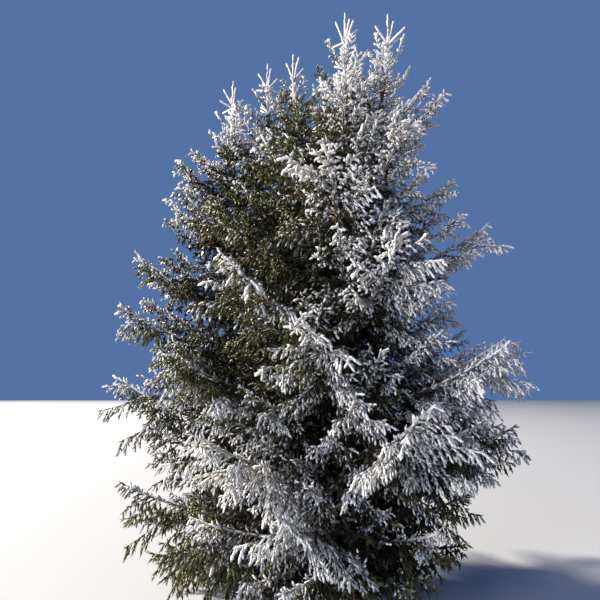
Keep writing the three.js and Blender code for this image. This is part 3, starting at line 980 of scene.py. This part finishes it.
# %% Rime, needles and twigs
ICE_IOR = 1.31
WAX_IOR = 1.45
RIME_GRAIN = 0.012
NEEDLE_GRAIN = 0.030
TWIG_GRAIN = 0.020
TONES_AT = (0.35, 0.65)


def mottled_surface(name, dark, light, grain, roughness, ior):
    """A finish whose colour wanders between two near ones, in spots as wide as the grain, in metres."""
    material, shader = surface(name)
    place = add_node(material, "ShaderNodeTexCoord")
    settings = {"Scale": 0.5 / grain, "Detail": 2.0}
    spots = add_node(material, "ShaderNodeTexNoise", settings, {"Vector": (place, "Object")})
    tones = zip(TONES_AT, (linear(dark), linear(light)))
    tint = colour_ramp(material, (spots, "Fac"), *tones)
    material.node_tree.links.new(tint.outputs["Color"], shader.inputs["Base Color"])
    shader.inputs["Roughness"].default_value = roughness
    shader.inputs["IOR"].default_value = ior
    return material


# Thick rime, grown feather by feather in the wind: it gives the eye a matt, nearly white surface.
hoarfrost = mottled_surface("hoarfrost", "#B4B3AE", "#DDDBD6", RIME_GRAIN, 0.78, ICE_IOR)
# Thin rime, through which the needles show, and painted shade on rime inside the crown and low down: a flat,
# cool grey.
grey_hoarfrost = mottled_surface("grey_hoarfrost", "#85888A", "#AAADAF", RIME_GRAIN, 0.8, ICE_IOR)
# Needles in the open, with a thin coat of wax: a dull olive green with a slight sheen.
olive_needles = mottled_surface("olive_needles", "#3A3B18", "#545225", NEEDLE_GRAIN, 0.5, WAX_IOR)
# Needles inside the crown, darkened as painted shade: they give the eye its dark depth.
dark_needles = mottled_surface("dark_needles", "#1B1C0D", "#303019", NEEDLE_GRAIN, 0.5, WAX_IOR)
# Twigs that have shed their needles: rough, grey-brown and quite without shine.
bare_twigs = mottled_surface("bare_twigs", "#382820", "#584337", TWIG_GRAIN, 0.85, WAX_IOR)
print("spots of", 1000 * RIME_GRAIN, "mm on the rime and", 1000 * NEEDLE_GRAIN, "mm on the needles")

# %% [markdown]
# Bark grows in thin layers that crack and lift at the edges. Cells with dark edges stand for the scales,
# and slow spots for the weathering. The scales of a young spruce are about 10 mm across. They are drawn
# 16 mm wide, so that they show. Squeezing the upright coordinate makes them longer than they are wide.

# %% Bark
SCALE_SIZE = 0.016
SCALE_SQUEEZE = (1.0, 1.0, 0.62)
WEATHER_SCALE = 14.0
CRACK_WIDTH = 0.16
CRACK_STRENGTH = 0.8
BUMP_HEIGHT = 0.003
BUMP_STRENGTH = 0.7
BARK_ROUGHNESS = 0.88
bark, shader = surface("scaly_spruce_bark")
place = add_node(bark, "ShaderNodeTexCoord")
squeeze = add_node(bark, "ShaderNodeMapping", {"Scale": SCALE_SQUEEZE}, {"Vector": (place, "Object")})
settings = {"feature": "DISTANCE_TO_EDGE", "Scale": 1 / SCALE_SIZE}
scales = add_node(bark, "ShaderNodeTexVoronoi", settings, {"Vector": (squeeze, 0)})
settings = {"Scale": WEATHER_SCALE, "Detail": 5.0}
weather = add_node(bark, "ShaderNodeTexNoise", settings, {"Vector": (place, "Object")})
tone = colour_ramp(bark, (weather, "Fac"), (0.3, linear("#4A3326")), (0.7, linear("#8D6A51")))
crack = colour_ramp(bark, (scales, "Distance"), (0.0, linear("#2A1C15")), (CRACK_WIDTH, (1, 1, 1, 1)))
settings = {"data_type": "RGBA", "blend_type": "MULTIPLY", "Factor": CRACK_STRENGTH}
mixed = add_node(bark, "ShaderNodeMix", settings, {"A": (tone, 0), "B": (crack, 0)})
bark.node_tree.links.new(mixed.outputs["Result"], shader.inputs["Base Color"])
settings = {"Strength": BUMP_STRENGTH, "Distance": BUMP_HEIGHT}
raised = add_node(bark, "ShaderNodeBump", settings, {"Height": (scales, "Distance")})
bark.node_tree.links.new(raised.outputs["Normal"], shader.inputs["Normal"])
shader.inputs["Roughness"].default_value = BARK_ROUGHNESS
print("bark scales are", 1000 * SCALE_SIZE, "mm wide")

# %% [markdown]
# ## Meshes from arrays
#
# A million small triangles can't be added one by one. Their corners are worked out together as arrays and
# handed to Blender in one go. Every finished piece rides on a body, and the solids that it stands for are
# hidden.

# %% From arrays to a piece
def make_piece(name, points, faces, material, slot, nodes):
    mesh = bpy.data.meshes.new(name)
    mesh.vertices.add(len(points))
    mesh.vertices.foreach_set("co", np.asarray(points, np.float32).ravel())
    mesh.loops.add(3 * len(faces))
    mesh.loops.foreach_set("vertex_index", np.asarray(faces, np.int32).ravel())
    mesh.polygons.add(len(faces))
    mesh.polygons.foreach_set("loop_start", np.arange(0, 3 * len(faces), 3, dtype=np.int32))
    mesh.polygons.foreach_set("use_smooth", np.ones(len(faces), bool))
    mesh.update(calc_edges=True)
    mesh.materials.append(material)
    piece = bpy.data.objects.new(name, mesh)
    bpy.context.scene.collection.objects.link(piece)
    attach(piece, "root")
    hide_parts(*nodes)
    print(name, len(faces), "triangles")


def tube_mesh(points, radii, sides, relief=None):
    """The corners and triangles of a closed, tapering tube. Its rings are level where it has relief."""
    points, radii = np.asarray(points, float), np.asarray(radii, float)
    lines = np.tile(UP, (len(points), 1)) if relief else np.gradient(points, axis=0)
    lines /= np.linalg.norm(lines, axis=1, keepdims=True)
    first = np.where(np.abs(lines[:, :1]) > 0.7, [[0.0, 1, 0]], [[1.0, 0, 0]])
    across = first - lines * np.sum(first * lines, axis=1, keepdims=True)
    across /= np.linalg.norm(across, axis=1, keepdims=True)
    third = np.cross(lines, across)
    turns = 2 * math.pi * np.arange(sides) / sides
    size = relief(points, radii, turns) if relief else radii[:, None] * np.ones(sides)
    around = np.cos(turns)[:, None] * across[:, None] + np.sin(turns)[:, None] * third[:, None]
    corners = (points[:, None] + size[..., None] * around).reshape(-1, 3)
    faces = []
    for ring in range(len(points) - 1):
        low = ring * sides + np.arange(sides)
        side = ring * sides + (np.arange(sides) + 1) % sides
        faces.append(np.stack([low, side, side + sides], 1))
        faces.append(np.stack([low, side + sides, low + sides], 1))
    ends, top = len(corners), (len(points) - 1) * sides
    rim = np.arange(sides)
    after = (rim + 1) % sides
    faces.append(np.stack([np.full(sides, ends), after, rim], 1))
    faces.append(np.stack([np.full(sides, ends + 1), top + rim, top + after], 1))
    return np.concatenate([corners, points[:1], points[-1:]]), np.concatenate(faces)


def join(meshes):
    """Several (corners, triangles) as one."""
    points, faces, count = [], [], 0
    for corners, triangles in meshes:
        points.append(corners)
        faces.append(triangles + count)
        count += len(corners)
    return np.concatenate(points), np.concatenate(faces)


# %% [markdown]
# ## Bark on the stems
#
# The stems are tubes with the bark's relief in the mesh: plates a few millimetres proud with cracks between
# them, 45 mm wide and so coarser than life, on top of slow swellings. The trunk also has the lobes of its
# root flare. A texture alone would leave the outline of the stem too smooth.

# %% Stems with bark relief
RELIEF_SCALE = 0.045
RELIEF_DEPTH = 0.0035
RELIEF_SHARE = 0.07
PLATE_STEEPNESS = 2.5
PLATE_SQUEEZE = (1, 1, 0.6)
SWELL_SCALE = 0.35
TRUNK_DETAIL = (44, 260)
STEM_DETAIL = (20, 120)
CLOSER_LOW_DOWN = 1.25


def bark_relief(stem):
    def size_at(points, radii, turns):
        size = np.empty((len(points), len(turns)))
        for i, (point, radius) in enumerate(zip(points, radii)):
            fade = 0 if stem.parent else math.exp(-point[2] / FLARE_HEIGHT)
            for j, turn in enumerate(turns):
                out = np.array([math.cos(turn), math.sin(turn), 0])
                lobe = 1 + FLARE_LOBE_SHARE * fade * math.cos(FLARE_LOBES * (math.pi / 2 - turn))
                spot = Vector(((point + out * radius) * PLATE_SQUEEZE) / RELIEF_SCALE)
                near = noise.voronoi(spot)[0]
                plate = min(1.0, (near[1] - near[0]) * PLATE_STEEPNESS)
                swell = noise.noise(spot * SWELL_SCALE)
                depth = min(RELIEF_DEPTH, RELIEF_SHARE * radius)
                size[i, j] = radius * lobe + depth * (plate - 0.6 + 1.2 * swell)
        return size

    return size_at


def stem_mesh(stem, sides, rings):
    low = 0.0 if stem.parent is None else stem.base[2]
    shares = np.linspace(0, 1, rings) ** (CLOSER_LOW_DOWN if stem.parent is None else 1.0)
    places = [stem.curve(lerp(low, stem.tip[2], share)) for share in shares]
    return tube_mesh([p for p, _ in places], [r for _, r in places], sides, bark_relief(stem))


for stem in stems.values():
    points, faces = stem_mesh(stem, *(TRUNK_DETAIL if stem.parent is None else STEM_DETAIL))
    make_piece(f"bark_{stem.name}", points, faces, bark, "bark", [stem.name])

# %% [markdown]
# ## Boughs and bare twigs
#
# The boughs are bark too, from the stem to the tip, and their radius varies a little from ring to ring. The
# slighter a bough, the fewer rings and sides it needs. The branchlets are thin grey-brown twigs that show
# where the needles have been shed, close to the bough. A cone with three sides is enough for those.

# %% Boughs and branchlets
MAIN_DETAIL = (12, 6)
COMPANION_DETAIL = (9, 4)
INNER_DETAIL = (6, 3)
BOUGH_ENDS = 0.98
TWIG_RADIUS = 0.0022
TWIG_RADIUS_PER_LENGTH = 0.006
TWIG_WAIST = (0.45, 0.7)
TWIG_ENDS = 0.9


def bough_mesh(bough):
    slighter = COMPANION_DETAIL if bough.share > INNER_SHARE else INNER_DETAIL
    rings, sides = MAIN_DETAIL if bough.share == 1 else slighter
    shares = np.linspace(0, BOUGH_ENDS, rings)
    rough = Dice(SEED + round(1e4 * bough.length))
    radii = [bough.radius_at(s) * rough.between(0.93, 1.08) for s in shares]
    return tube_mesh([bough.point(s) for s in shares], radii, sides)


def twig_mesh(branchlet):
    """A three-sided cone in two steps, from the bough to near the branchlet's tip."""
    radius = TWIG_RADIUS + TWIG_RADIUS_PER_LENGTH * branchlet.length
    points = []
    for t, share in ((0, 1), TWIG_WAIST):
        for k in range(3):
            turn = 2 * math.pi * k / 3
            out = branchlet.across * math.cos(turn) + branchlet.normal * math.sin(turn)
            points.append(branchlet.point(t) + radius * share * out)
    points.append(branchlet.point(TWIG_ENDS))
    faces = []
    for k in range(3):
        after = (k + 1) % 3
        faces += [(k, after, 3 + after), (k, 3 + after, 3 + k), (3 + k, 3 + after, 6)]
    return np.array(points), np.array(faces)


limbs = [node for node in NODES if node.startswith("bough_")]
for stem in stems.values():
    own = [bough_mesh(bough) for bough in boughs + flanks + inners if bough.stem is stem]
    nodes = [node for node in limbs if node.startswith(f"bough_{stem.name}")]
    make_piece(f"boughs_{stem.name}", *join(own), bark, "bark", nodes)


def masses_in(region):
    """The solids of foliage that a region's pieces stand for."""
    if region == "tops":
        return [node for node in NODES if node.startswith("top_")]
    return sorted(f"foliage_{bough.name}" for bough in boughs if region_of(bough) == region)


REGIONS = sorted({region for _, _, region, _ in branchlets})
for region in REGIONS:
    own = [twig_mesh(branchlet) for branchlet, _, place, _ in branchlets if place == region]
    make_piece(f"twigs_{region}", *join(own), bare_twigs, "bark", masses_in(region))

# %% [markdown]
# ## The needles
#
# Each shoot takes one of a few patterns, turned about its own axis. Rime grows from the tip inwards, so its
# amount decides how much of the shoot is white: all of it, the outer two thirds, the last third, or nothing.
# A coat is white where its rime passes a bar, which takes less rime high up, and grey where it falls short.
# The grey is thin rime, and low down, where the bar is higher, it is also painted shade. What stands far out
# in the crown is finely made, and its needles are olive. What is sheltered is coarser, because little of it
# can be seen, and it is painted darker as shade: grey rime and dark needles. Nothing reaches into the ground.
# The shoots of one region and one colour become one mesh.
#
# A coat is given by the least and the most rime, the share of the length from which it is white, and the
# patterns near the outside, further in and inside.

# %% Needles, dealt out by their rime
COATS = (
    (0.76, 9.0, -1.0, NEAR_RIMED, FAR_RIMED, FAR_RIMED),
    (0.46, 0.76, 0.32, NEAR_RIMED, FAR_RIMED, FAR_RIMED),
    (0.28, 0.46, 0.66, NEAR_GREEN, FAR_GREEN, INSIDE),
    (-9.0, 0.28, 9.0, NEAR_GREEN, FAR_GREEN, INSIDE),
)
NEAR_FROM = 0.90
# Shoots that stand too far in, by their outer share and some luck, get painted shade: grey rime and dark
# needles.
PAINTED_SHADE_UNDER = 0.60
# Rime and luck must pass this bar to be white; it is higher low down, which paints the low rime grey as
# shade.
WHITE_RIME_FROM = (0.94, 0.62)
LOW_SHADE_FADES_FROM = 0.8
LOW_SHADE_FADES_OVER = 1.2
PLACE_LUCK = 0.15
TIP_LIFT = 0.08
NEEDLE_FLOOR = 0.002
# Each finish by white or green, and by whether the shoot escapes painted shade; the grey rime is also thin
# rime.
FINISHES = {
    (True, True): ("hoarfrost", hoarfrost, "rimed_needles"),
    (True, False): ("grey_hoarfrost", grey_hoarfrost, "rimed_needles"),
    (False, True): ("olive_needles", olive_needles, "green_needles"),
    (False, False): ("dark_needles", dark_needles, "green_needles"),
}


def shoot_corners(rows, shares, offsets, rng):
    """Every corner of the chosen shoots: one row of corners for each shoot."""
    reach = shoots["reach"][rows]
    length = np.linalg.norm(reach, axis=1, keepdims=True)
    line = reach / length
    level = shoots["normal"][rows]
    level = level - line * np.sum(level * line, axis=1, keepdims=True) + 1e-6
    level /= np.linalg.norm(level, axis=1, keepdims=True)
    across = np.cross(level, line)
    turn = rng.uniform(0, 2 * math.pi, (len(rows), 1))
    side = across * np.cos(turn) + level * np.sin(turn)
    corners = shoots["root"][rows][:, None] + reach[:, None] * shares[:, None]
    corners += level[:, None] * TIP_LIFT * length[:, :, None] * (shares**2)[:, None]
    for axis, way in enumerate((line, side, np.cross(line, side))):
        corners += shoots["thick"][rows][:, None, None] * way[:, None] * offsets[:, axis][:, None]
    corners[:, :, 2] = np.maximum(corners[:, :, 2], NEEDLE_FLOOR)
    return corners


def add_needles(parts, rows, pattern, white_from, tones, rng):
    """Makes the chosen shoots and sorts their triangles into white and green parts."""
    for variant in range(VARIANTS):
        shares, offsets, faces = shoot_pattern(rng, **pattern)
        chosen = rows[variant::VARIANTS]
        if not len(chosen):
            continue
        corners = shoot_corners(chosen, shares, offsets, rng)
        white = shares[faces].mean(axis=1) >= white_from
        for is_white in (True, False):
            own = faces[white == is_white]
            if not len(own):
                continue
            used, local = np.unique(own, return_inverse=True)
            starts = len(used) * np.arange(len(chosen))[:, None, None]
            triangles = local.reshape(1, -1, 3) + starts
            mesh = corners[:, used].reshape(-1, 3), triangles.reshape(-1, 3)
            parts.setdefault((is_white, tones[is_white]), []).append(mesh)


rng = np.random.default_rng(SEED)
luck = rng.uniform(-PLACE_LUCK, PLACE_LUCK, len(shoots["root"]))
# Painted shade: shoots deep in the crown get the grey rime and the dark needles.
is_unshaded = shoots["outer"] + luck >= PAINTED_SHADE_UNDER
# White rime needs a thick coat outside the painted shade; the raised bar low down is a painted shade on the
# low rime.
above_low_shade = np.clip((shoots["root"][:, 2] - LOW_SHADE_FADES_FROM) / LOW_SHADE_FADES_OVER, 0, 1)
is_thick_and_unshaded = is_unshaded & (shoots["rime"] + luck >= lerp(*WHITE_RIME_FROM, above_low_shade))
is_rod = shoots["outer"] >= ROD
is_near = (shoots["outer"] >= NEAR_FROM) & ~is_rod
is_inside = shoots["outer"] < SHELTERED
is_far = ~(is_rod | is_near | is_inside)
places = {"near": is_near, "far": is_far, "inside": is_inside, "rod": is_rod}
for kind, place in places.items():
    print(kind, "shoots:", np.count_nonzero(place))
total = 0
for region in REGIONS:
    parts = {}
    for low, high, white_from, *patterns in COATS:
        chosen = (shoots["region"] == region) & (shoots["rime"] >= low) & (shoots["rime"] < high)
        # Thick white rime with olive needles, thin grey rime with olive needles, and painted shade: grey rime
        # with dark needles.
        for thick, unshaded in ((True, True), (False, True), (False, False)):
            toned = chosen & (is_thick_and_unshaded == thick) & (is_unshaded == unshaded)
            for place, pattern in zip(places.values(), (*patterns, RIMED_ROD)):
                rows = rng.permutation(np.flatnonzero(toned & place))
                add_needles(parts, rows, pattern, white_from, {True: thick, False: unshaded}, rng)
    for key, meshes in parts.items():
        kind, material, slot = FINISHES[key]
        points, faces = join(meshes)
        total += len(faces)
        make_piece(f"{kind}_{region}", points, faces, material, slot, masses_in(region))
print("needles:", total, "triangles")

# %% [markdown]
# ## Floor, light and camera
#
# The floor is plain and pale, and so wide that its far edge looks like the horizon.

# %% Floor
FLOOR_SIZE = 120.0
FLOOR_ROUGHNESS = 0.9
pale_floor, shader = surface("pale_floor")
shader.inputs["Base Color"].default_value = linear("#9BA0A7")
shader.inputs["Roughness"].default_value = FLOOR_ROUGHNESS
bpy.ops.mesh.primitive_plane_add(size=FLOOR_SIZE, location=(0, 0, 0))
floor = bpy.context.object
floor.name = "studio_floor"
floor.data.materials.append(pale_floor)
print("a floor", FLOOR_SIZE, "m wide")

# %% [markdown]
# The light is soft and plain: a large warm lamp far off on the left and a little behind stands for the low
# sun, a cooler one low at the front left for the light that pale ground throws back, and a blue surround
# for the sky, which tints the shaded rime.

# %% Lights
SKY_STRENGTH = 0.55
LAMP_SIZE = 8.0
CROWN_CENTRE = (-0.3, 0.2, 2.6)
CROWN_FOOT = (-0.3, 0.2, 1.6)
world = bpy.data.worlds.new("studio")
bpy.context.scene.world = world
world.use_nodes = True
sky = world.node_tree.nodes["Background"]
sky.inputs["Color"].default_value = linear("#7096D6")
sky.inputs["Strength"].default_value = SKY_STRENGTH
bpy.context.scene.view_settings.view_transform = "Standard"


def soft_lamp(name, place, target, power, colour):
    """A round lamp, with its power in watts, that shines from a place to a target."""
    data = bpy.data.lights.new(name, "AREA")
    data.shape = "DISK"
    data.size = LAMP_SIZE
    data.energy = power
    data.color = linear(colour)[:3]
    lamp = bpy.data.objects.new(name, data)
    bpy.context.scene.collection.objects.link(lamp)
    lamp.location = place
    lamp.rotation_euler = (Vector(target) - Vector(place)).to_track_quat("-Z", "Y").to_euler()
    print(name, "lamp:", power, "W from", round((Vector(target) - Vector(place)).length, 1), "m away")


soft_lamp("key", (-55.0, 22.0, 35.0), CROWN_CENTRE, 190000, "#FFF0DA")
soft_lamp("fill", (-14.0, -13.2, 4.0), CROWN_FOOT, 4500, "#F2F3FF")

# %% [markdown]
# The camera stands where the photographer did, as far as the photo tells: 1.65 m above the ground, 4.2 m in
# front of the trunk and a little to its left, with a wide lens that looks up at the crown. The tilt follows
# from the row of the picture in which the horizon lies.

# %% Camera
EYE = (-0.37, -4.2, 1.65)
FOCAL_PIXELS = 466.0
FRAME_PIXELS = 600.0
HORIZON_ROW = 388.0
SENSOR_WIDTH = 36.0
camera_data = bpy.data.cameras.new("camera")
camera_data.sensor_width = SENSOR_WIDTH
camera_data.lens = FOCAL_PIXELS / FRAME_PIXELS * SENSOR_WIDTH
camera = bpy.data.objects.new("camera", camera_data)
bpy.context.scene.collection.objects.link(camera)
camera.location = EYE
pitch = math.atan((HORIZON_ROW - FRAME_PIXELS / 2) / FOCAL_PIXELS)
camera.rotation_euler = (math.pi / 2 + pitch, 0, 0)
bpy.context.scene.camera = camera
print("lens", round(camera_data.lens, 2), "mm, looking up", round(math.degrees(pitch), 1), "degrees")
